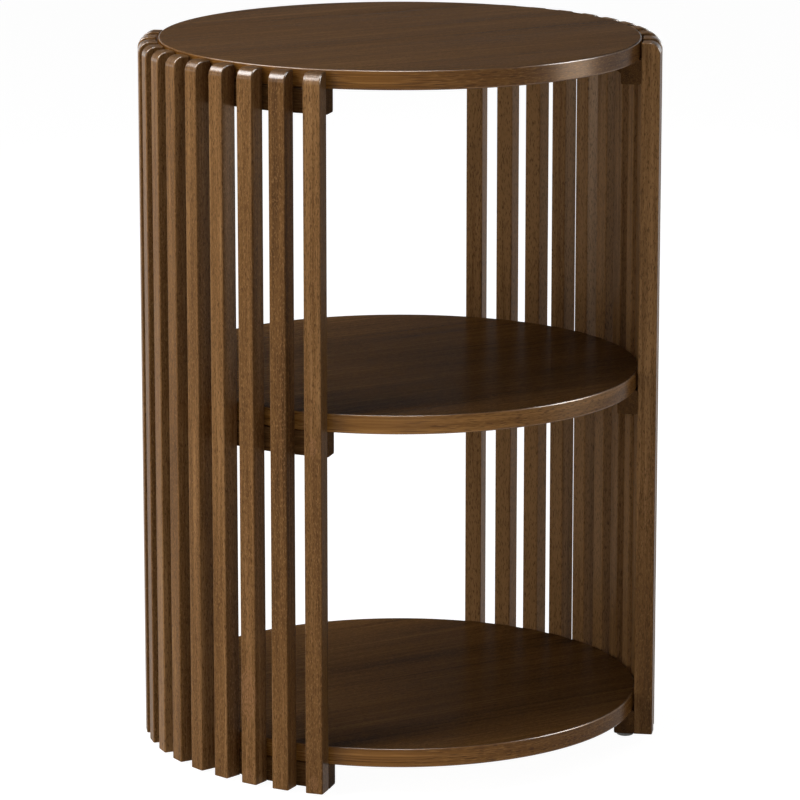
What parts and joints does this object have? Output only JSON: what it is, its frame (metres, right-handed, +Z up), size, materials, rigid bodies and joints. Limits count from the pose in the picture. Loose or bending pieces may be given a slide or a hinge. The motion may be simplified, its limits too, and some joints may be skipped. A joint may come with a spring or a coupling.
{
  "type": "round end table",
  "caption": "Round wooden end table: a top and open lower shelves between two curved screens of upright slats, on small floor glides.",
  "frame": {"origin": "on the floor, under the middle of the table", "axes": "+Z up, -Y towards the front opening, +X towards the right-hand screen of slats"},
  "size_m": [0.444, 0.409, 0.61],
  "materials": {
    "panel_wood": "dark walnut stain, satin lacquer",
    "rail_wood": "dark walnut stain, satin lacquer",
    "slat_wood": "dark walnut stain, satin lacquer",
    "dowel_wood": "plain beech",
    "bolt_steel": "zinc plated",
    "washer_steel": "zinc plated",
    "insert_brass": "plain",
    "glide_plastic": "moulded",
    "nail_steel": "bright"
  },
  "bodies": {
    "root": {"top_panel": "panel_wood", "middle_shelf": "panel_wood", "bottom_shelf": "panel_wood", "left_bottom_rail": "rail_wood", "left_middle_rail": "rail_wood", "left_top_rail": "rail_wood", "right_bottom_rail": "rail_wood", "right_middle_rail": "rail_wood", "right_top_rail": "rail_wood", "left_slat_01": "slat_wood", "left_slat_02": "slat_wood", "left_slat_03": "slat_wood", "left_slat_04": "slat_wood", "left_slat_05": "slat_wood", "left_slat_06": "slat_wood", "left_slat_07": "slat_wood", "left_slat_08": "slat_wood", "left_slat_09": "slat_wood", "left_slat_10": "slat_wood", "left_slat_11": "slat_wood", "right_slat_01": "slat_wood", "right_slat_02": "slat_wood", "right_slat_03": "slat_wood", "right_slat_04": "slat_wood", "right_slat_05": "slat_wood", "right_slat_06": "slat_wood", "right_slat_07": "slat_wood", "right_slat_08": "slat_wood", "right_slat_09": "slat_wood", "right_slat_10": "slat_wood", "right_slat_11": "slat_wood", "left_bottom_dowels": "dowel_wood", "left_middle_dowels": "dowel_wood", "left_top_dowels": "dowel_wood", "right_bottom_dowels": "dowel_wood", "right_middle_dowels": "dowel_wood", "right_top_dowels": "dowel_wood", "left_front_glide": "glide_plastic", "left_back_glide": "glide_plastic", "right_front_glide": "glide_plastic", "right_back_glide": "glide_plastic", "panel_bolts": "bolt_steel", "bolt_washers": "washer_steel", "panel_inserts": "insert_brass", "glide_nails": "nail_steel"}
  },
  "joints": []
}
